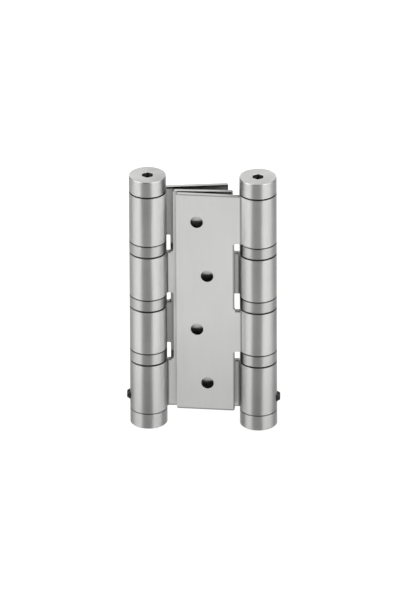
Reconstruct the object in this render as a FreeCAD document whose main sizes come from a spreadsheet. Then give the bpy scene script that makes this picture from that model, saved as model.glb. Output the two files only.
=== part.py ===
import FreeCAD, Part
import math
import os

import Sketcher

# Double action spring hinge: two sheet leaves and a middle web whose rolled knuckles share two barrels.
# Frame: +Z up, +X from the left barrel to the right one, -Y towards the front leaf.
# The origin lies midway between the barrels, on the plane of the bottom caps.

SIZES = {
    # barrels, from the floor up: cap, knuckle, ring, knuckle, ring, knuckle, ring, knuckle, cap
    "barrel_diameter": 20.7,
    "barrel_spacing": 61.0,
    "bottom_cap_height": 9.3,
    "tension_cap_height": 9.8,
    "end_knuckle_height": 29.5,
    "middle_knuckle_height": 25.5,
    "ring_pitch": 7.8,
    # rolled sheet of the leaves and the web
    "sheet_thickness": 2.2,
    "bend_radius": 1.2,
    "seam_gap": 0.3,
    "leaf_gap": 2.8,
    "leaf_reach": 44.9,
    "leaf_notch_reach": 12.8,
    "web_notch_reach": 14.0,
    "notch_corner_radius": 1.0,
    "plate_corner_radius": 0.8,
    "web_setback": 1.4,
    "plate_bottom_inset": 0.6,
    "front_leaf_closing": 3.6,
    "rear_leaf_opening": 6.6,
    # screw holes of a leaf, staggered in two columns
    "hole_diameter": 7.0,
    "hole_pitch": 33.1,
    "hole_top_margin": 17.0,
    "hole_far_reach": 33.5,
    "hole_near_reach": 27.8,
    "countersink_depth": 2.0,
    # running parts of a barrel
    "running_clearance": 0.05,
    "ring_float": 0.8,
    "ring_seam": 0.5,
    "end_float": 0.1,
    "sleeve_wall": 1.0,
    "spindle_diameter": 4.0,
    "spindle_clearance": 0.1,
    # tension cap with its hexagon socket, and the bottom cap
    "cap_gap": 0.7,
    "cap_chamfer": 0.3,
    "cap_spigot_length": 10.0,
    "socket_flats": 6.0,
    "socket_depth": 8.5,
    "spindle_head_height": 2.0,
    "bottom_seam": 0.35,
    "bottom_chamfer": 0.5,
    "bottom_spigot_length": 4.0,
    # torsion spring of flat wire, with a straight tang at each end
    "spring_turns": 5,
    "spring_clearance": 0.3,
    "wire_width": 2.0,
    "wire_height": 3.6,
    "tang_length": 4.0,
    "tang_thickness": 2.4,
    "tang_clearance": 0.15,
    # anchor plug of the spring, and the screw that locks it in the lowest knuckle
    "anchor_height": 11.6,
    "lock_screw_diameter": 3.0,
    "lock_tip_gap": 0.6,
    "lock_screw_clearance": 0.1,
    "lock_head_diameter": 6.0,
    "lock_head_height": 2.2,
    "lock_head_crown": 4.0,
    "lock_seat_inset": 0.55,
    "lock_seat_clearance": 0.2,
    "lock_socket_flats": 2.0,
    "lock_socket_depth": 1.2,
    "lock_rise": 7.5,
}

doc = FreeCAD.newDocument("double_action_spring_hinge")
sheet = doc.addObject("Spreadsheet::Sheet", "sizes")
for row, (alias, number) in enumerate(SIZES.items(), start=1):
    sheet.set(f"A{row}", alias)
    sheet.set(f"B{row}", str(number))
    sheet.setAlias(f"B{row}", alias)
doc.recompute()

# Expressions that several pieces share
RADIUS = "sizes.barrel_diameter / 2"
BORE = f"({RADIUS} - sizes.sheet_thickness)"
JOURNAL = f"({BORE} - sizes.running_clearance)"
HALF_SHEET = "sizes.sheet_thickness / 2"
WEB_FACE = {"right": f"({HALF_SHEET} + sizes.web_setback)", "left": f"({HALF_SHEET} - sizes.web_setback)"}
LEAF_INNER = f"({HALF_SHEET} + sizes.leaf_gap)"
LEAF_OUTER = f"({LEAF_INNER} + sizes.sheet_thickness)"
SPRING_OUTER = f"({JOURNAL} - sizes.sleeve_wall - sizes.spring_clearance)"
SPRING_INNER = f"({SPRING_OUTER} - sizes.wire_width)"
SPINDLE = "sizes.spindle_diameter / 2"
SPINDLE_BORE = f"({SPINDLE} + sizes.spindle_clearance)"
LOCK_SEAT = f"({RADIUS} - sizes.lock_seat_inset)"

# Height of the lower face of each stage of a barrel
STAGES = (
    ("bottom_cap", "bottom_cap_height"),
    ("knuckle_4", "end_knuckle_height"),
    ("ring_3", "ring_pitch"),
    ("knuckle_3", "middle_knuckle_height"),
    ("ring_2", "ring_pitch"),
    ("knuckle_2", "middle_knuckle_height"),
    ("ring_1", "ring_pitch"),
    ("knuckle_1", "end_knuckle_height"),
    ("top_cap", "tension_cap_height"),
)
LEVEL = {}
level_so_far = "0"
for stage, stage_height in STAGES:
    LEVEL[stage] = f"({level_so_far})"
    level_so_far = f"{level_so_far} + sizes.{stage_height}"
LEVEL["top"] = f"({level_so_far})"
PLATE_BOTTOM = f"({LEVEL['knuckle_4']} + sizes.plate_bottom_inset)"
PLATE_TOP = LEVEL["top_cap"]
SPIGOT_BOTTOM = f"({LEVEL['top_cap']} - sizes.cap_spigot_length)"
SOCKET_FLOOR = f"({LEVEL['top']} - sizes.socket_depth)"
ANCHOR_BOTTOM = f"({LEVEL['knuckle_4']} + sizes.bottom_spigot_length)"
ANCHOR_TOP = f"({ANCHOR_BOTTOM} + sizes.anchor_height)"
LOCK_LEVEL = f"({LEVEL['knuckle_4']} + sizes.lock_rise)"
SPRING_BOTTOM = f"({ANCHOR_TOP} + sizes.spring_clearance)"
SPRING_TOP = f"({SPIGOT_BOTTOM} - sizes.spring_clearance)"


def value(expression):
    """The number that an expression gives with the sizes in the sheet."""
    return float(sheet.evalExpression(expression))


def new_body(label):
    body = doc.addObject("PartDesign::Body", label)
    body.Label = label
    return body


def new_sketch(body, name, plane, offset="0"):
    """An empty sketch on one of the body's own planes, moved along the plane's normal by an expression."""
    sketch = body.newObject("Sketcher::SketchObject", name)
    support = [feature for feature in body.Origin.OriginFeatures if feature.Role == plane][0]
    sketch.AttachmentSupport = [(support, "")]
    sketch.MapMode = "FlatFace"
    sketch.setExpression("AttachmentOffset.Base.z", offset)
    return sketch


def pin_point(sketch, geometry, vertex, x, y):
    """Place one vertex of a sketch by two expressions measured from the sketch's origin."""
    for direction, expression in (("DistanceX", x), ("DistanceY", y)):
        constraint = Sketcher.Constraint(direction, -1, 1, geometry, vertex, value(expression))
        index = sketch.addConstraint(constraint)
        sketch.setExpression(f"Constraints[{index}]", expression)


def draw_outline(sketch, points, arcs=None):
    """Draw a closed outline through points given as pairs of expressions.

    arcs maps the index of a point to (centre x, centre y, radius, counter-clockwise) where the stretch
    from that point to the next one is an arc. All other stretches are straight.
    """
    arcs = arcs or {}
    places = [FreeCAD.Vector(value(x), value(y), 0) for x, y in points]
    start_of = {True: 1, False: 2}
    ends = []
    for index, place in enumerate(places):
        after = places[(index + 1) % len(places)]
        if index not in arcs:
            ends.append((sketch.addGeometry(Part.LineSegment(place, after), False), True))
            continue
        centre_x, centre_y, radius, turns_left = arcs[index]
        centre = FreeCAD.Vector(value(centre_x), value(centre_y), 0)
        first, last = (place, after) if turns_left else (after, place)
        first_angle = math.atan2(first.y - centre.y, first.x - centre.x)
        last_angle = math.atan2(last.y - centre.y, last.x - centre.x)
        if last_angle <= first_angle:
            last_angle += 2 * math.pi
        circle = Part.Circle(centre, FreeCAD.Vector(0, 0, 1), value(radius))
        arc = sketch.addGeometry(Part.ArcOfCircle(circle, first_angle, last_angle), False)
        ends.append((arc, turns_left))
        limit = sketch.addConstraint(Sketcher.Constraint("Radius", arc, value(radius)))
        sketch.setExpression(f"Constraints[{limit}]", radius)
    for index, (x, y) in enumerate(points):
        geometry, forward = ends[index]
        before, before_forward = ends[index - 1]
        pin_point(sketch, geometry, start_of[forward], x, y)
        meeting = Sketcher.Constraint(
            "Coincident", before, start_of[not before_forward], geometry, start_of[forward]
        )
        sketch.addConstraint(meeting)


def draw_circle(sketch, x, y, radius):
    centre = FreeCAD.Vector(value(x), value(y), 0)
    circle = sketch.addGeometry(Part.Circle(centre, FreeCAD.Vector(0, 0, 1), value(radius)), False)
    pin_point(sketch, circle, 3, x, y)
    limit = sketch.addConstraint(Sketcher.Constraint("Radius", circle, value(radius)))
    sketch.setExpression(f"Constraints[{limit}]", radius)


def rectangle(left, right, low, high):
    return [(left, low), (right, low), (right, high), (left, high)]


def hexagon(flats):
    """Corners of a hexagon about the sketch's origin, with a corner on its vertical axis."""
    corner = f"({flats} / sqrt(3))"
    side = f"({flats} / 2)"
    return [
        ("0", corner),
        (f"-{side}", f"{corner} / 2"),
        (f"-{side}", f"-{corner} / 2"),
        ("0", f"-{corner}"),
        (side, f"-{corner} / 2"),
        (side, f"{corner} / 2"),
    ]


def rounded(corners):
    """Points and arcs of an outline whose square corners (x, y, radius or None) are rounded."""
    places = [(value(x), value(y)) for x, y, _ in corners]
    points = []
    arcs = {}

    def towards(start, end):
        return [(b > a + 1e-6) - (b < a - 1e-6) for a, b in zip(places[start], places[end])]

    for index, (x, y, radius) in enumerate(corners):
        if radius is None:
            points.append((x, y))
            continue
        back = towards(index, index - 1)
        ahead = towards(index, (index + 1) % len(corners))
        centre = [f"{part} + ({a} + {b}) * {radius}" for part, a, b in zip((x, y), back, ahead)]
        turns_left = ahead[0] * back[1] - ahead[1] * back[0] > 0
        arcs[len(points)] = (*centre, radius, turns_left)
        points.append((f"{x} + ({back[0]}) * {radius}", f"{y} + ({back[1]}) * {radius}"))
        points.append((f"{x} + ({ahead[0]}) * {radius}", f"{y} + ({ahead[1]}) * {radius}"))
    return points, arcs


def pad(body, sketch, name, length, reverse=False, midplane=False):
    feature = body.newObject("PartDesign::Pad", name)
    feature.Profile = sketch
    feature.setExpression("Length", length)
    feature.Reversed = reverse
    feature.Midplane = midplane
    return feature


def cut(body, sketch, name, depth, reverse=False, midplane=False):
    """A pocket that has to take material away."""
    doc.recompute()
    before = body.Shape.Volume
    feature = body.newObject("PartDesign::Pocket", name)
    feature.Profile = sketch
    feature.setExpression("Length", depth)
    feature.Reversed = reverse
    feature.Midplane = midplane
    doc.recompute()
    if body.Shape.Volume >= before:
        raise RuntimeError(f"{body.Label}: {name} cuts nothing")
    return feature


def lathe(body, name, points, axis="V_Axis", arcs=None):
    """A full turn of a half section drawn on the XZ plane."""
    sketch = new_sketch(body, f"{name}_section", "XZ_Plane")
    draw_outline(sketch, points, arcs)
    feature = body.newObject("PartDesign::Revolution", name)
    feature.Profile = sketch
    feature.ReferenceAxis = (sketch, [axis])
    feature.Angle = 360
    return feature


def roll_knuckle(body, name, stage, height, bend_face, axis_x="0", along=1, across=1):
    """Roll one knuckle out of the sheet round a barrel's axis.

    The sheet comes from -X (along 1) or +X (along -1), bends towards -Y (across 1) or +Y (across -1)
    and goes round until its end stands on its own other face. bend_face is the distance from the axis
    to the face of the sheet on the side that it bends to.
    """
    back_face = f"({bend_face} - sizes.sheet_thickness)"
    centre_reach = f"({RADIUS} + sizes.bend_radius)"
    centre_drop = f"({bend_face} + sizes.bend_radius)"
    bend_start = f"sqrt({centre_reach} ^ 2 - {centre_drop} ^ 2)"
    end_drop = f"({back_face} - sizes.seam_gap)"

    def place(x, drop):
        return (f"{axis_x} - ({along}) * {x}", f"-({across}) * {drop}")

    def on_bend_line(radius):
        share = f"({radius} / {centre_reach})"
        return place(f"{bend_start} * {share}", f"{centre_drop} * {share}")

    def at_end(radius):
        return place(f"sqrt(({radius}) ^ 2 - {end_drop} ^ 2)", end_drop)

    points = [
        place(bend_start, bend_face),
        on_bend_line(f"({RADIUS})"),
        at_end(RADIUS),
        at_end(BORE),
        on_bend_line(BORE),
        place(bend_start, back_face),
    ]
    bend_centre = place(bend_start, centre_drop)
    axis = (axis_x, "0")
    left = along * across > 0
    arcs = {
        0: (*bend_centre, "sizes.bend_radius", not left),
        1: (*axis, RADIUS, left),
        3: (*axis, BORE, not left),
        4: (*bend_centre, "sizes.bend_radius + sizes.sheet_thickness", left),
    }
    sketch = new_sketch(body, f"{name}_section", "XY_Plane", LEVEL[stage])
    draw_outline(sketch, points, arcs)
    pad(body, sketch, name, f"sizes.{height}")


def bend_reach(bend_face):
    """Distance from a barrel's axis at which a sheet starts to bend into its knuckle."""
    return (
        f"sqrt(({RADIUS} + sizes.bend_radius) ^ 2"
        f" - ({bend_face} + sizes.bend_radius) ^ 2)"
    )


def make_leaf(label):
    """A leaf in its own frame: barrel axis at the origin, plate towards -X, outer face towards -Y."""
    body = new_body(label)
    free_edge = "-sizes.leaf_reach"
    notch = "-sizes.leaf_notch_reach"
    bend = f"-{bend_reach(LEAF_OUTER)}"
    corner = "sizes.plate_corner_radius"
    inner = "sizes.notch_corner_radius"
    corners = [
        (free_edge, PLATE_BOTTOM, corner),
        (notch, PLATE_BOTTOM, corner),
        (notch, LEVEL["knuckle_3"], inner),
        (bend, LEVEL["knuckle_3"], None),
        (bend, LEVEL["ring_2"], None),
        (notch, LEVEL["ring_2"], inner),
        (notch, LEVEL["knuckle_1"], inner),
        (bend, LEVEL["knuckle_1"], None),
        (bend, PLATE_TOP, None),
        (free_edge, PLATE_TOP, corner),
    ]
    blank = new_sketch(body, "plate_outline", "XZ_Plane", LEAF_INNER)
    draw_outline(blank, *rounded(corners))
    pad(body, blank, "plate", "sizes.sheet_thickness")
    roll_knuckle(body, "lower_knuckle", "knuckle_3", "middle_knuckle_height", LEAF_OUTER)
    roll_knuckle(body, "upper_knuckle", "knuckle_1", "end_knuckle_height", LEAF_OUTER)

    holes = new_sketch(body, "hole_places", "XZ_Plane", LEAF_INNER)
    for number in range(4):
        reach = "hole_near_reach" if number % 2 else "hole_far_reach"
        drop = f"(sizes.hole_top_margin + {number} * sizes.hole_pitch)"
        draw_circle(holes, f"-sizes.{reach}", f"{PLATE_TOP} - {drop}", "sizes.hole_diameter / 2")
    cut(body, holes, "screw_holes", "sizes.sheet_thickness", reverse=True)
    countersink(body, "sizes.hole_diameter / 2", LEAF_INNER)
    return body


def countersink(body, hole_radius, face):
    """Chamfer the rims of the screw holes on the face of a leaf that lies nearest to the barrels."""
    rims = []
    for number, edge in enumerate(body.Shape.Edges, start=1):
        is_circle = isinstance(edge.Curve, Part.Circle)
        if not is_circle or abs(edge.Curve.Radius - value(hole_radius)) > 1e-6:
            continue
        if abs(edge.CenterOfMass.y + value(face)) < 1e-6:
            rims.append(f"Edge{number}")
    drilled = body.Tip
    feature = body.newObject("PartDesign::Chamfer", "countersinks")
    feature.Base = (drilled, rims)
    feature.setExpression("Size", "sizes.countersink_depth")
    doc.recompute()


def make_web(label):
    """The middle web, set behind the plane of the axes, with two knuckles of each barrel."""
    body = new_body(label)
    axis_x = "sizes.barrel_spacing / 2"
    notch = f"({axis_x} - sizes.web_notch_reach)"
    inner = "sizes.notch_corner_radius"
    bends = {side: f"({axis_x} - {bend_reach(face)})" for side, face in WEB_FACE.items()}

    def half_outline(bend):
        return [
            (bend, PLATE_BOTTOM, None),
            (bend, LEVEL["ring_3"], None),
            (notch, LEVEL["ring_3"], inner),
            (notch, LEVEL["knuckle_2"], inner),
            (bend, LEVEL["knuckle_2"], None),
            (bend, LEVEL["ring_1"], None),
            (notch, LEVEL["ring_1"], inner),
            (notch, PLATE_TOP, "sizes.plate_corner_radius"),
        ]

    mirrored = [(f"-{x}", z, radius) for x, z, radius in reversed(half_outline(bends["left"]))]
    blank = new_sketch(body, "plate_outline", "XZ_Plane", f"-({HALF_SHEET} + sizes.web_setback)")
    draw_outline(blank, *rounded(half_outline(bends["right"]) + mirrored))
    pad(body, blank, "plate", "sizes.sheet_thickness")
    knuckles = (("knuckle_2", "middle_knuckle_height"), ("knuckle_4", "end_knuckle_height"))
    for side, along in (("right", 1), ("left", -1)):
        for stage, height in knuckles:
            roll_knuckle(
                body, f"{side}_{stage}", stage, height, WEB_FACE[side], f"({along}) * {axis_x}", along, -along
            )
    step = new_sketch(body, "lower_step_outline", "XZ_Plane")
    for side, sign in (("right", 1), ("left", -1)):
        barrel_side = f"({sign}) * ({axis_x} - {RADIUS})"
        plate_side = f"({sign}) * {bends[side]}"
        draw_outline(step, rectangle(barrel_side, plate_side, LEVEL["knuckle_4"], PLATE_BOTTOM))
    cut(body, step, "lower_step", "sizes.barrel_diameter", midplane=True)
    for side, sign in (("right", 1), ("left", -1)):
        lock_hole(body, side, sign, axis_x)
    return body


def lock_hole(body, side, sign, axis_x):
    """Spot face and clearance hole for a lock screw, on the outer side of the lowest knuckle."""
    depth = "sizes.barrel_diameter / 4"
    seat = new_sketch(body, f"{side}_lock_seat", "YZ_Plane", f"({sign}) * ({axis_x} + {LOCK_SEAT})")
    draw_circle(seat, "0", LOCK_LEVEL, "sizes.lock_head_diameter / 2 + sizes.lock_seat_clearance")
    cut(body, seat, f"{side}_lock_spot_face", depth, reverse=sign > 0)
    hole = new_sketch(body, f"{side}_lock_place", "YZ_Plane", f"({sign}) * ({axis_x} + {RADIUS})")
    draw_circle(hole, "0", LOCK_LEVEL, "sizes.lock_screw_diameter / 2 + sizes.lock_screw_clearance")
    cut(body, hole, f"{side}_lock_hole", depth, reverse=sign < 0)


def make_tension_cap(label):
    """Top cap that winds the spring: hexagon socket above, spigot with a slot for the spring below."""
    body = new_body(label)
    under = f"{LEVEL['top_cap']} + sizes.cap_gap"
    edge = "sizes.cap_chamfer"
    lathe(
        body,
        "turned_cap",
        [
            (SPINDLE_BORE, SPIGOT_BOTTOM),
            (JOURNAL, SPIGOT_BOTTOM),
            (JOURNAL, under),
            (RADIUS, under),
            (RADIUS, f"{LEVEL['top']} - {edge}"),
            (f"{RADIUS} - {edge}", LEVEL["top"]),
            (SPINDLE_BORE, LEVEL["top"]),
        ],
    )
    socket = new_sketch(body, "socket_outline", "XY_Plane", LEVEL["top"])
    draw_outline(socket, hexagon("sizes.socket_flats"))
    cut(body, socket, "socket", "sizes.socket_depth")
    tang_slot(body, SPIGOT_BOTTOM, reverse=True)
    return body


def tang_slot(body, level, reverse):
    """Slot for a tang of the spring, cut into a face at the given level."""
    room = "sizes.tang_clearance"
    slot = new_sketch(body, "tang_slot_outline", "XY_Plane", level)
    half = f"(sizes.tang_thickness / 2 + {room})"
    draw_outline(
        slot, rectangle(f"{SPRING_INNER} - {room}", f"{SPRING_OUTER} + {room}", f"-{half}", half)
    )
    cut(body, slot, "tang_slot", f"sizes.tang_length + {room}", reverse=reverse)


def make_ring(label, stage):
    """Bearing ring between two knuckles, with a fine seam above it and a wider one below."""
    body = new_body(label)
    low = f"{LEVEL[stage]} + sizes.ring_float"
    high = f"{LEVEL[stage]} + sizes.ring_pitch - sizes.ring_seam"
    lathe(body, "ring", rectangle(BORE, RADIUS, low, high))
    return body


def make_sleeve(label):
    """Journal sleeve: the hollow hinge pin that the knuckles turn on and the spring lies in."""
    body = new_body(label)
    inner = f"{JOURNAL} - sizes.sleeve_wall"
    lathe(body, "tube", rectangle(inner, JOURNAL, ANCHOR_TOP, f"{SPIGOT_BOTTOM} - sizes.end_float"))
    return body


def make_spindle(label):
    """Rod that holds the tension cap down, with its head on the floor of the socket."""
    body = new_body(label)
    head = "sizes.socket_flats / 2 - sizes.running_clearance"
    head_top = f"{SOCKET_FLOOR} + sizes.spindle_head_height"
    lathe(
        body,
        "rod",
        [
            ("0", ANCHOR_BOTTOM),
            (SPINDLE, ANCHOR_BOTTOM),
            (SPINDLE, SOCKET_FLOOR),
            (head, SOCKET_FLOOR),
            (head, head_top),
            ("0", head_top),
        ],
    )
    return body


def make_anchor(label):
    """Plug in the lowest knuckle that holds the lower end of the spring."""
    body = new_body(label)
    lathe(body, "plug", rectangle(f"{SPINDLE} + sizes.running_clearance", JOURNAL, ANCHOR_BOTTOM, ANCHOR_TOP))
    tang_slot(body, ANCHOR_TOP, reverse=False)
    tapping = new_sketch(body, "lock_place", "YZ_Plane", JOURNAL)
    draw_circle(tapping, "0", LOCK_LEVEL, "sizes.lock_screw_diameter / 2 + sizes.running_clearance")
    cut(body, tapping, "lock_hole", f"{JOURNAL} - {SPINDLE_BORE} - sizes.running_clearance")
    return body


def make_lock_screw(label):
    """Button head screw across the barrel, from its seat on the knuckle into the anchor plug."""
    body = new_body(label)
    tip = f"{SPINDLE_BORE} + sizes.lock_tip_gap"
    head_end = f"{LOCK_SEAT} + sizes.lock_head_height"
    shank = "sizes.lock_screw_diameter / 2"
    feature = lathe(
        body,
        "screw",
        [
            (tip, "0"),
            (head_end, "0"),
            (head_end, "sizes.lock_head_crown / 2"),
            (f"{LOCK_SEAT} + sizes.lock_seat_inset", "sizes.lock_head_diameter / 2"),
            (LOCK_SEAT, "sizes.lock_head_diameter / 2"),
            (LOCK_SEAT, shank),
            (tip, shank),
        ],
        axis="H_Axis",
    )
    feature.Profile[0].setExpression("AttachmentOffset.Base.y", LOCK_LEVEL)
    socket = new_sketch(body, "socket_outline", "YZ_Plane", head_end)
    draw_outline(socket, [(x, f"{z} + {LOCK_LEVEL}") for x, z in hexagon("sizes.lock_socket_flats")])
    cut(body, socket, "socket", "sizes.lock_socket_depth")
    return body


def make_bottom_cap(label):
    """Plain cap that closes the barrel below, with a spigot in the lowest knuckle."""
    body = new_body(label)
    edge = "sizes.bottom_chamfer"
    shoulder = f"{LEVEL['knuckle_4']} - sizes.bottom_seam"
    lathe(
        body,
        "turned_cap",
        [
            ("0", "0"),
            (f"{RADIUS} - {edge}", "0"),
            (RADIUS, edge),
            (RADIUS, shoulder),
            (JOURNAL, shoulder),
            (JOURNAL, ANCHOR_BOTTOM),
            ("0", ANCHOR_BOTTOM),
        ],
    )
    return body


def make_spring(label):
    """Torsion spring: a coil of flat wire with a straight tang at each end."""
    body = new_body(label)
    section = new_sketch(body, "wire_section", "XZ_Plane")
    draw_outline(
        section, rectangle(SPRING_INNER, SPRING_OUTER, SPRING_BOTTOM, f"{SPRING_BOTTOM} + sizes.wire_height")
    )
    coil = body.newObject("PartDesign::AdditiveHelix", "coil")
    coil.Profile = section
    coil.ReferenceAxis = (section, ["V_Axis"])
    coil.Mode = "height-turns-angle"
    coil.setExpression("Height", f"{SPRING_TOP} - {SPRING_BOTTOM} - sizes.wire_height")
    coil.setExpression("Turns", "sizes.spring_turns")
    doc.recompute()
    half = "sizes.tang_thickness / 2"
    reach = "sizes.tang_length + sizes.spring_clearance + sizes.wire_height"
    ends = (
        ("lower_tang", f"{ANCHOR_TOP} - sizes.tang_length"),
        ("upper_tang", f"{SPRING_TOP} - sizes.wire_height"),
    )
    for name, level in ends:
        tang = new_sketch(body, f"{name}_section", "XY_Plane", level)
        draw_outline(tang, rectangle(SPRING_INNER, SPRING_OUTER, f"-{half}", half))
        pad(body, tang, name, reach)
    return body


def set_place(body, axis_x, turn):
    """Stand a piece that was modelled about its own barrel on that barrel's axis, turned about it."""
    body.setExpression("Placement.Base.x", axis_x)
    body.Placement.Rotation = FreeCAD.Rotation(FreeCAD.Vector(0, 0, 1), 0)
    body.setExpression("Placement.Rotation.Angle", turn)


def make_barrel(side, axis_x, turn):
    """All the loose pieces of one barrel."""
    rings = (("upper", "ring_1"), ("middle", "ring_2"), ("lower", "ring_3"))
    pieces = [make_ring(f"{side}_bearing_ring_{name}", stage) for name, stage in rings]
    pieces += [
        make_tension_cap(f"{side}_tension_cap"),
        make_bottom_cap(f"{side}_bottom_cap"),
        make_sleeve(f"{side}_journal_sleeve"),
        make_spring(f"{side}_torsion_spring"),
        make_spindle(f"{side}_spindle"),
        make_anchor(f"{side}_spring_anchor"),
        make_lock_screw(f"{side}_lock_screw"),
    ]
    for piece in pieces:
        set_place(piece, axis_x, turn)
    return pieces


RIGHT_AXIS = "sizes.barrel_spacing / 2"
LEFT_AXIS = "-sizes.barrel_spacing / 2"

front_leaf = make_leaf("front_leaf")
set_place(front_leaf, RIGHT_AXIS, "-sizes.front_leaf_closing")
rear_leaf = make_leaf("rear_leaf")
set_place(rear_leaf, LEFT_AXIS, "180 + sizes.rear_leaf_opening")
parts = [front_leaf, rear_leaf, make_web("web_plate")]
parts += make_barrel("right", RIGHT_AXIS, "0")
parts += make_barrel("left", LEFT_AXIS, "180")
doc.recompute()

for item in doc.Objects:
    if "Invalid" in item.State or "Error" in item.State:
        raise RuntimeError(f"{item.Label} is {item.State}")
for part in parts:
    if part.Shape.isNull() or not part.Shape.isValid() or len(part.Shape.Solids) != 1:
        raise RuntimeError(f"{part.Label} has no single valid solid")

os.makedirs("parts", exist_ok=True)
for part in parts:
    part.Shape.exportStep(os.path.join("parts", f"{part.Label}.step"))
    print(f"{part.Label}: {part.Shape.Volume:.0f} mm3")
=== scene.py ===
import math
from functools import partial, reduce

import bpy
from mathutils import Matrix, Vector


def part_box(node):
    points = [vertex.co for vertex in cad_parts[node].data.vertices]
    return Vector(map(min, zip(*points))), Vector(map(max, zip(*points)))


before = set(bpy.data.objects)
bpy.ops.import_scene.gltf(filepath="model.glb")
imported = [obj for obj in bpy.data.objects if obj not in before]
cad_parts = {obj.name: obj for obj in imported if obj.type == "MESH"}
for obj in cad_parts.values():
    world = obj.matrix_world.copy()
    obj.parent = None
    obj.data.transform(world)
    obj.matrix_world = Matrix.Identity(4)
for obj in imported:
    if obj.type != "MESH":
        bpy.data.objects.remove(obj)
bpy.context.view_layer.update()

MM = 0.001
WHITE = (1, 1, 1, 1)

# Camera: a long lens that looks down on the hinge from just right of its front
CAMERA_AZIMUTH = math.radians(2.74)
CAMERA_ELEVATION = math.radians(26.86)
CAMERA_ROLL = math.radians(-0.27)
CAMERA_DISTANCE = 8.0
CAMERA_REACH = 100.0
CAMERA_TARGET = Vector((-1.8, 0.0, 75.67)) * MM
CAMERA_LENS = 867.2
SENSOR_WIDTH = 36.0

# Studio: how bright each direction round the hinge is.
# Azimuth 0 is the front, and a panel's inner and outer end are measured towards its own side.
# Heights run from 0 at the horizon to 1 overhead.
# A pair is a ramp: where a change starts, and where it is complete.
GROUND_LEVEL = 1.0
SKY_LEVEL = 2.66
PANEL_LEVEL = 5.5
SHADE_LEVEL = 0.1
LEFT_PANEL = {"inner": math.radians(41), "outer": math.radians(104)}
RIGHT_PANEL = {"inner": math.radians(28), "outer": math.radians(98)}
INNER_BLUR = math.radians(7)
OUTER_BLUR = math.radians(22)
PANEL_FOOT = (0.1, 0.35)
PANEL_HEAD = (0.98, 0.85)
BACK_WINDOW = (math.radians(148), math.radians(160))
HORIZON = (-0.08, 0.08)

# Floor: its glow rises from the pool's inner radius to its outer one, so the dimmer pool round the hinge
# is painted shade
FLOOR_SIZE = 20.0
FLOOR_COLOUR = (0.02, 0.02, 0.0198, 1.0)
FLOOR_ROUGHNESS = 0.9
FLOOR_SHADE_POOL = (25 * MM, 160 * MM)
FLOOR_GLOW = (1.0, 1.21)

# Barrels and plates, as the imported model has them
cap_low, cap_high = (Vector(corner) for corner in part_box("right_tension_cap"))
leaf_low, leaf_high = (Vector(corner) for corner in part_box("front_leaf"))
rings = {level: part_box(f"right_bearing_ring_{level}") for level in ("upper", "middle", "lower")}
RING_FEET = {level: box[0][2] for level, box in rings.items()}
RING_TOPS = {level: box[1][2] for level, box in rings.items()}
BARREL_X = (cap_low.x + cap_high.x) / 2
BARREL_RADIUS = (cap_high.x - cap_low.x) / 2
SEAMS = [leaf_high.z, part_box("web_plate")[0][2], *RING_FEET.values(), *RING_TOPS.values()]
NOTCH_X = BARREL_X - 13.15 * MM
NOTCHES = ((RING_FEET["middle"], RING_TOPS["upper"]), (0.0, RING_TOPS["lower"]))

# Regions of the finish, by place on the part at rest, many of them for painted shade or light. A pair is
# a ramp, as in the studio.
FLAT_START = (BARREL_RADIUS + 0.1 * MM, BARREL_RADIUS + 0.8 * MM)
BEND_START = (BARREL_RADIUS + 0.02 * MM, BARREL_RADIUS + 0.2 * MM)
BEND_END = (BARREL_RADIUS + 1.2 * MM, BARREL_RADIUS + 0.6 * MM)
FOOT_SHADE_FADE = (0.0, 60.0 * MM)
HOLES_END = (9.0 * MM, 8.0 * MM)
WEB_END = (3.0 * MM, 3.5 * MM)
FRONT_START = (0.0, -3.0 * MM)
INNER_SHADOW_FADE = (-13.0 * MM, -15.0 * MM)
NOOK_SHADOW_START = (BARREL_X - 12.8 * MM, BARREL_X - 12.5 * MM)
NOOK_SHADOW_DEPTH = 2.4 * MM
SEAM = (0.35 * MM, 0.175 * MM)
SOCKET_WALL = (3.7 * MM, 3.5 * MM)
SOCKET_RIM = (0.1 * MM, 0.4 * MM)
EDGE_SHADE_LINE = 1.0 * MM
INNER_SHADOW_LINE = 1.7 * MM

# Regions of the finish, by which way a face looks: ramps of one component of its normal
OFF_FACE = (0.95, 0.8)
ON_END = (0.3, 0.5)
ON_TOP = (0.5, 0.8)
TO_WEB = (-0.5, -0.9)
TO_OTHER_BARREL = (-0.58, -0.84)
TO_FRONT = (0.2, -0.2)

# Greys of the regions, many of them painted shade or light. A pair holds the two ends of a blend.
BLUE_SHARE = 0.99
PLATE_GREY = 0.525
INSIDE_SHADE_GREY = 0.385
INNER_SHADOW_LINE_GREYS = (0.16, 0.04)
EDGE_SHADE_GREY = 0.27
NOOK_SHADOW_GREY = 0.1
BEND_SHADE_GREY = 0.25
CUT_AND_SHADE_GREYS = (0.18, 0.27)
BARREL_FOOT_SHADE_GREYS = (0.325, 0.385)
FLANK_LIGHT_GREYS = (0.53, 0.66)
SEAM_SHADE_GREY = 0.12
SOCKET_SHADE_GREY = 0.02
OXIDE_GREYS = (0.006, 0.024)
CLOUD_SPREAD = (0.96, 1.04)

# Roughness of the regions, and how far it varies
PLATE_ROUGHNESS = 0.33
BARREL_ROUGHNESS = 0.42
FLANK_ROUGHNESS = 0.95
CUT_ROUGHNESS = 0.45
OXIDE_ROUGHNESS = (0.35, 0.55)
ROUGHNESS_SPREAD = (0.88, 1.12)

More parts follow.
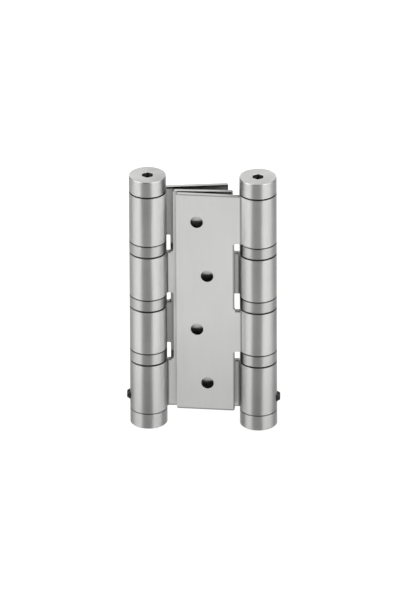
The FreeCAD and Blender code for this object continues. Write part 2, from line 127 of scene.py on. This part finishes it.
# Grain: noise with this many waves per metre along X, Y and Z
BRUSHED_GRAIN = (3000, 3000, 40)
GROUND_GRAIN = (50, 50, 5000)
CLOUD_GRAIN = (60, 60, 40)
SPECKLE_GRAIN = (1500, 1500, 1500)
GRAIN_DETAIL = 3.0
GRAIN_RANGE = (0.3, 0.7)
CLOUD_SHARE = 0.4
BUMP_DEPTH = 0.02 * MM
SHEET_BUMP = 0.15
TURNED_BUMP = 0.1
OXIDE_BUMP = 0.2
OXIDE_METAL = 0.6
OXIDE_SPECULAR = 0.2

# Upward, but a trace off the vertical, so that no level face looks straight along it
UPWARD = (0.001, 0.0007, 1.0)

# Broken edges, after a weld that joins doubled points
WELD_REACH = 0.001 * MM
SHARP_ANGLE = math.radians(40)
BEVEL_SEGMENTS = 2
SHEET_EDGE = 0.25 * MM
RING_EDGE = 0.2 * MM
SMALL_EDGE = 0.1 * MM


class Nodes:
    """Short calls for building a node tree."""

    def __init__(self, tree):
        self.tree = tree
        tree.nodes.clear()

    def add(self, kind, inputs=None, **settings):
        """A new node, with each input linked to a socket or set to a constant."""
        node = self.tree.nodes.new(kind)
        for key, setting in settings.items():
            setattr(node, key, setting)
        for socket, given in (inputs or {}).items():
            if isinstance(given, bpy.types.NodeSocket):
                self.tree.links.new(given, node.inputs[socket])
            else:
                node.inputs[socket].default_value = given
        return node

    def math(self, operation, *values):
        return self.add("ShaderNodeMath", dict(enumerate(values)), operation=operation).outputs[0]

    def split(self, vector):
        return self.add("ShaderNodeSeparateXYZ", {0: vector}).outputs

    def cross(self, first, second):
        node = self.add("ShaderNodeVectorMath", {0: first, 1: second}, operation="CROSS_PRODUCT")
        return node.outputs[0]

    def length(self, x, y):
        squares = self.math("ADD", self.math("MULTIPLY", x, x), self.math("MULTIPLY", y, y))
        return self.math("SQRT", squares)

    def every(self, *shares):
        """1 where every share is 1."""
        return reduce(partial(self.math, "MULTIPLY"), shares)

    def any(self, *shares):
        """1 where any share is 1."""
        return reduce(partial(self.math, "MAXIMUM"), shares)

    def between(self, value, low, high):
        """1 from low to high, 0 outside."""
        return self.every(self.math("GREATER_THAN", value, low), self.math("LESS_THAN", value, high))

    def remap(self, value, low, high, to_low=0.0, to_high=1.0):
        """Smooth step from one range to another."""
        node = self.add(
            "ShaderNodeMapRange",
            {0: value, 1: low, 2: high, 3: to_low, 4: to_high},
            interpolation_type="SMOOTHSTEP",
        )
        return node.outputs[0]

    def line(self, value, edge, width):
        """1 along an edge, gone a width below it, or above it where the width is negative."""
        return self.remap(value, edge - width, edge - width / 2)

    def blend(self, share, first, second):
        """The first number where share is 0, the second where it is 1."""
        node = self.add("ShaderNodeMix", {0: share, 2: first, 3: second}, data_type="FLOAT")
        return node.outputs[0]

    def blend_vector(self, share, first, second):
        node = self.add("ShaderNodeMix", {0: share, 4: first, 5: second}, data_type="VECTOR")
        return node.outputs[1]


class Finish(Nodes):
    """A material, with where each of its points lies on the part at rest and which way it faces."""

    def __init__(self, name):
        self.material = bpy.data.materials.new(name)
        self.material.use_nodes = True
        super().__init__(self.material.node_tree)
        coordinates = self.add("ShaderNodeTexCoord").outputs
        self.place = coordinates["Object"]
        self.x, self.y, self.z = self.split(self.place)
        self.across = self.math("ABSOLUTE", self.x)
        self.facing_right, self.facing_back, self.facing_up = self.split(coordinates["Normal"])

    def from_axis(self):
        """Distance from the axis of the nearer barrel."""
        return self.length(self.math("SUBTRACT", self.across, BARREL_X), self.y)

    def on_flank(self):
        """1 on the front of a barrel where it turns towards the other barrel."""
        outward = self.math("MULTIPLY", self.facing_right, self.math("SIGN", self.x))
        return self.every(self.remap(outward, *TO_OTHER_BARREL), self.remap(self.facing_back, *TO_FRONT))

    def near_seam(self):
        """1 at the seams between the stages of a barrel, where shade is painted."""
        gaps = [self.math("ABSOLUTE", self.math("SUBTRACT", self.z, seam)) for seam in SEAMS]
        return self.remap(reduce(partial(self.math, "MINIMUM"), gaps), *SEAM)

    def noise(self, grain):
        stretched = self.add("ShaderNodeMapping", {"Vector": self.place, "Scale": grain}).outputs[0]
        node = self.add("ShaderNodeTexNoise", {"Vector": stretched, "Scale": 1.0, "Detail": GRAIN_DETAIL})
        return node.outputs["Fac"]

    def uneven(self, roughness, grain, cloud):
        """A roughness that varies a little with the grain and with a soft cloud."""
        mixed = self.blend(CLOUD_SHARE, grain, cloud)
        return self.math("MULTIPLY", roughness, self.remap(mixed, *GRAIN_RANGE, *ROUGHNESS_SPREAD))

    def bump(self, height, strength, **inputs):
        inputs |= {"Height": height, "Strength": strength, "Distance": BUMP_DEPTH}
        return self.add("ShaderNodeBump", inputs).outputs[0]

    def upward(self):
        return self.add("ShaderNodeCombineXYZ", dict(enumerate(UPWARD))).outputs[0]

    def grey(self, level):
        """The colour of a grey level, with a trace of warmth."""
        blue = self.math("MULTIPLY", level, BLUE_SHARE)
        return self.add("ShaderNodeCombineColor", {0: level, 1: level, 2: blue}).outputs[0]

    def close(self, inputs):
        """Give the shader its inputs, and hand the material over."""
        shader = self.add("ShaderNodeBsdfPrincipled", inputs)
        self.add("ShaderNodeOutputMaterial", {"Surface": shader.outputs[0]})
        return self.material

    def close_steel(self, level, roughness, bump, tangent):
        """Bare steel whose grain spreads reflections along the tangent."""
        inputs = {
            "Base Color": self.grey(level),
            "Metallic": 1.0,
            "Roughness": roughness,
            "Anisotropic": 1.0,
            "Normal": bump,
            "Tangent": tangent,
        }
        return self.close(inputs)


def make_camera():
    """Stand the camera at the photograph's viewing angle."""
    aside, ahead = math.sin(CAMERA_AZIMUTH), math.cos(CAMERA_AZIMUTH)
    level = math.cos(CAMERA_ELEVATION)
    back = Vector((aside * level, -ahead * level, math.sin(CAMERA_ELEVATION)))
    right = Matrix.Rotation(CAMERA_ROLL, 3, back) @ Vector((ahead, aside, 0))
    turn = Matrix((right, back.cross(right), back)).transposed().to_4x4()
    data = bpy.data.cameras.new("camera")
    data.lens = CAMERA_LENS
    data.sensor_width = SENSOR_WIDTH
    data.clip_end = CAMERA_REACH
    camera = bpy.data.objects.new("camera", data)
    camera.matrix_world = Matrix.Translation(CAMERA_TARGET + back * CAMERA_DISTANCE) @ turn
    bpy.context.scene.collection.objects.link(camera)
    bpy.context.scene.camera = camera


def make_studio():
    """Soft light: pale ground all round, and above it a bright panel at each side and a window behind."""
    world = bpy.data.worlds.new("studio")
    world.use_nodes = True
    bpy.context.scene.world = world
    nodes = Nodes(world.node_tree)
    x, y, z = nodes.split(nodes.add("ShaderNodeTexCoord").outputs["Generated"])
    azimuth = nodes.math("ARCTAN2", x, nodes.math("MULTIPLY", y, -1.0))
    panels = []
    for panel, side in ((LEFT_PANEL, -1.0), (RIGHT_PANEL, 1.0)):
        outward = nodes.math("MULTIPLY", azimuth, side)
        begins = nodes.remap(outward, panel["inner"] - INNER_BLUR, panel["inner"] + INNER_BLUR)
        ends = nodes.remap(outward, panel["outer"] + OUTER_BLUR, panel["outer"] - OUTER_BLUR)
        panels.append(nodes.every(begins, ends))
    raised = nodes.every(nodes.remap(z, *PANEL_FOOT), nodes.remap(z, *PANEL_HEAD))
    around = nodes.blend(nodes.every(nodes.any(*panels), raised), SHADE_LEVEL, PANEL_LEVEL)
    behind = nodes.remap(nodes.math("ABSOLUTE", azimuth), *BACK_WINDOW)
    above = nodes.blend(behind, around, SKY_LEVEL)
    level = nodes.blend(nodes.remap(z, *HORIZON), GROUND_LEVEL, above)
    background = nodes.add("ShaderNodeBackground", {"Color": WHITE, "Strength": level})
    nodes.add("ShaderNodeOutputWorld", {"Surface": background.outputs[0]})


def floor_white(name):
    """White that hardly takes a shadow, because it glows by itself; its glow is painted dimmer near the
    hinge, as shade.
    """
    white = Finish(name)
    # Painted shade: the glow is lower close to the hinge
    glow = white.remap(white.length(white.x, white.y), *FLOOR_SHADE_POOL, *FLOOR_GLOW)
    inputs = {
        "Base Color": FLOOR_COLOUR,
        "Roughness": FLOOR_ROUGHNESS,
        "Specular IOR Level": 0.0,
        "Emission Color": WHITE,
        "Emission Strength": glow,
    }
    return white.close(inputs)


def make_floor():
    """Lay a wide flat floor under the hinge."""
    half = FLOOR_SIZE / 2
    mesh = bpy.data.meshes.new("floor")
    corners = [(-half, -half, 0), (half, -half, 0), (half, half, 0), (-half, half, 0)]
    mesh.from_pydata(corners, [], [(0, 1, 2, 3)])
    mesh.materials.append(floor_white("floor_white"))
    floor = bpy.data.objects.new("floor", mesh)
    bpy.context.scene.collection.objects.link(floor)


def on_cut(steel):
    """1 on the walls of the screw holes and on the upper and lower ends of the plates."""
    off_face = steel.remap(steel.math("ABSOLUTE", steel.facing_back), *OFF_FACE)
    on_end = steel.remap(steel.math("ABSOLUTE", steel.facing_up), *ON_END)
    return steel.every(off_face, steel.any(steel.remap(steel.across, *HOLES_END), on_end))


def on_shaded_edge_line(steel, off_web):
    """1 along the top of a leaf, the foot of a plate and the notches of the front leaf, where painted
    shade stands for a rounded edge.
    """
    top = steel.every(steel.line(steel.z, leaf_high.z, EDGE_SHADE_LINE), off_web)
    foot = steel.line(steel.z, leaf_low.z, -EDGE_SHADE_LINE)
    in_notch = steel.any(*[steel.between(steel.z, low, high) for low, high in NOTCHES])
    in_front = steel.remap(steel.y, *FRONT_START)
    notch = steel.every(steel.line(steel.x, NOTCH_X, EDGE_SHADE_LINE), in_notch, in_front)
    return steel.any(top, foot, notch)


def on_inside(steel, off_web):
    """1 on the face of a leaf that looks at the web."""
    outward = steel.math("MULTIPLY", steel.facing_back, steel.math("SIGN", steel.y))
    return steel.every(steel.remap(outward, *TO_WEB), off_web)


def in_shadowed_nook(steel, off_web):
    """1 where a sheet enters its knuckle, just under the ring above it, where a shadow is painted."""
    under = {}
    for level, foot in RING_FEET.items():
        near = steel.line(steel.z, foot, NOOK_SHADOW_DEPTH)
        under[level] = steel.every(near, steel.math("LESS_THAN", steel.z, foot))
    on_web = steel.any(under["upper"], under["lower"])
    on_leaf = under["middle"]
    return steel.every(steel.blend(off_web, on_web, on_leaf), steel.remap(steel.across, *NOOK_SHADOW_START))


def plate_level(steel):
    """Grey of the flat part of a sheet, with painted shade at its edges, on inner faces and in the nooks.
    """
    off_web = steel.remap(steel.math("ABSOLUTE", steel.y), *WEB_END)
    # Painted shadow along the top of a leaf's inner face, darker towards the left barrel
    inner_shadow = steel.blend(steel.remap(steel.x, *INNER_SHADOW_FADE), *INNER_SHADOW_LINE_GREYS)
    inside = steel.blend(steel.line(steel.z, leaf_high.z, INNER_SHADOW_LINE), INSIDE_SHADE_GREY, inner_shadow)
    # Painted shade along the top, foot and notch edges
    level = steel.blend(on_shaded_edge_line(steel, off_web), PLATE_GREY, EDGE_SHADE_GREY)
    # Painted shade on the face of a leaf that looks into the gap at the web
    level = steel.blend(on_inside(steel, off_web), level, inside)
    # Painted shadow in the nooks under the rings
    return steel.blend(in_shadowed_nook(steel, off_web), level, NOOK_SHADOW_GREY)


def barrel_level(steel, on_flank):
    """Grey of the rolled part of a sheet: painted light on the flanks, painted shade at the foot and the
    seams.
    """
    # Painted shade: the barrels darken towards the foot
    height = steel.remap(steel.z, *FOOT_SHADE_FADE)
    # Painted light on the flanks where the barrels face each other
    level = steel.blend(on_flank, steel.blend(height, *BARREL_FOOT_SHADE_GREYS), steel.blend(height, *FLANK_LIGHT_GREYS))
    # Painted shade along the seams between stages
    return steel.blend(steel.near_seam(), level, SEAM_SHADE_GREY)


def sheet_steel(name):
    """Sheet of the leaves and the web: brushed along its height where flat, ground round where rolled.

    The grain spreads reflections sideways on the flats and up and down on the barrels.
    """
    steel = Finish(name)
    distance = steel.from_axis()
    is_flat = steel.remap(distance, *FLAT_START)
    is_bend = steel.every(steel.remap(distance, *BEND_START), steel.remap(distance, *BEND_END))
    is_cut = steel.every(on_cut(steel), is_flat)
    on_flank = steel.on_flank()

    level = steel.blend(is_flat, barrel_level(steel, on_flank), plate_level(steel))
    # Painted shade in the crease where a sheet bends into its barrel
    level = steel.blend(is_bend, level, BEND_SHADE_GREY)
    # Partly the duller sheared cut, partly painted shade: hole walls and ends are dark, lighter where
    # they face up
    cut_and_shade_level = steel.blend(steel.remap(steel.facing_up, *ON_TOP), *CUT_AND_SHADE_GREYS)
    level = steel.blend(is_cut, level, cut_and_shade_level)

    grain = steel.blend(is_flat, steel.noise(GROUND_GRAIN), steel.noise(BRUSHED_GRAIN))
    roughness = steel.blend(is_flat, BARREL_ROUGHNESS, PLATE_ROUGHNESS)
    roughness = steel.uneven(roughness, grain, steel.noise(CLOUD_GRAIN))
    roughness = steel.blend(is_cut, roughness, CUT_ROUGHNESS)
    is_flank = steel.every(on_flank, steel.math("SUBTRACT", 1.0, is_flat))
    roughness = steel.blend(is_flank, roughness, FLANK_ROUGHNESS)

    geometry = steel.add("ShaderNodeNewGeometry").outputs
    upward = steel.upward()
    sideways = steel.cross(upward, geometry["True Normal"])
    tangent = steel.blend_vector(is_flat, upward, sideways)
    normal = steel.blend_vector(is_flat, geometry["Normal"], geometry["True Normal"])
    bump = steel.bump(grain, SHEET_BUMP, Normal=normal)
    return steel.close_steel(level, roughness, bump, tangent)


def turned_steel(name, level, roughness, flank_light_level=None, socket_top=None):
    """Steel turned on a lathe: fine rings round its own axis, which spread reflections across the rings.

    flank_light_level is its grey where the barrels face each other, lighter there as painted light, if
    that differs.
    Inside a key socket that opens at socket_top, the steel is painted black as the socket's shade.
    """
    steel = Finish(name)
    grain = steel.noise(GROUND_GRAIN)
    cloud = steel.noise(CLOUD_GRAIN)
    roughness = steel.uneven(roughness, grain, cloud)
    level = steel.blend(cloud, *[level * share for share in CLOUD_SPREAD])
    if flank_light_level is not None:
        # Painted light on the flanks where the barrels face each other
        level = steel.blend(steel.on_flank(), level, flank_light_level)
    # Painted shade along the seams between stages
    level = steel.blend(steel.near_seam(), level, SEAM_SHADE_GREY)
    # Painted shade: the inside of the key socket is black
    if socket_top is not None:
        within = steel.remap(steel.from_axis(), *SOCKET_WALL)
        below = steel.remap(steel.math("SUBTRACT", socket_top, steel.z), *SOCKET_RIM)
        level = steel.blend(steel.every(within, below), level, SOCKET_SHADE_GREY)
    return steel.close_steel(level, roughness, steel.bump(grain, TURNED_BUMP), steel.upward())


def black_oxide(name):
    """Black screw finish with a faint oily sheen."""
    oxide = Finish(name)
    speckle = oxide.noise(SPECKLE_GRAIN)
    inputs = {
        "Base Color": oxide.grey(oxide.blend(speckle, *OXIDE_GREYS)),
        "Metallic": OXIDE_METAL,
        "Roughness": oxide.remap(speckle, *GRAIN_RANGE, *OXIDE_ROUGHNESS),
        "Specular IOR Level": OXIDE_SPECULAR,
        "Normal": oxide.bump(speckle, OXIDE_BUMP),
    }
    return oxide.close(inputs)


def dress(node, material, edge):
    """Give a CAD node its finish, and break its sharp edges."""
    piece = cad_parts[node]
    piece.data.materials.clear()
    piece.data.materials.append(material)
    weld = piece.modifiers.new("weld", "WELD")
    weld.merge_threshold = WELD_REACH
    bevel = piece.modifiers.new("edge", "BEVEL")
    bevel.width = edge
    bevel.segments = BEVEL_SEGMENTS
    bevel.limit_method = "ANGLE"
    bevel.angle_limit = SHARP_ANGLE
    bevel.use_clamp_overlap = True
    bevel.harden_normals = True
    evened = piece.modifiers.new("evened", "WEIGHTED_NORMAL")
    evened.mode = "FACE_AREA"
    evened.keep_sharp = True


make_camera()
make_studio()
make_floor()

sheet_finish = sheet_steel("leaf_steel")
# Rings get painted light on their flanks
ring_finish = turned_steel("ring_steel", level=0.345, roughness=0.42, flank_light_level=0.48)
cap_finish = turned_steel("cap_steel", level=0.385, roughness=0.42, socket_top=cap_high.z)
# Bottom caps: a darker copy of the cap steel, painted shade for the foot of the hinge
foot_shade_finish = turned_steel("foot_steel_shaded", level=0.34, roughness=0.385)
inner_finish = turned_steel("inner_steel", level=0.55, roughness=0.35)
spring_finish = turned_steel("spring_steel", level=0.35, roughness=0.4)
screw_finish = black_oxide("black_screw")

# Finish and edge of each piece, by its name without the first word
FINISHES = {f"bearing_ring_{level}": (ring_finish, RING_EDGE) for level in rings}
FINISHES |= {
    "leaf": (sheet_finish, SHEET_EDGE),
    "plate": (sheet_finish, SHEET_EDGE),
    "tension_cap": (cap_finish, SMALL_EDGE),
    "bottom_cap": (foot_shade_finish, SMALL_EDGE),
    "lock_screw": (screw_finish, SMALL_EDGE),
    "torsion_spring": (spring_finish, SMALL_EDGE),
    "journal_sleeve": (inner_finish, SMALL_EDGE),
    "spindle": (screw_finish, SMALL_EDGE),
    "spring_anchor": (inner_finish, SMALL_EDGE),
}
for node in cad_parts:
    dress(node, *FINISHES[node.partition("_")[2]])

bpy.context.scene.view_settings.view_transform = "Standard"
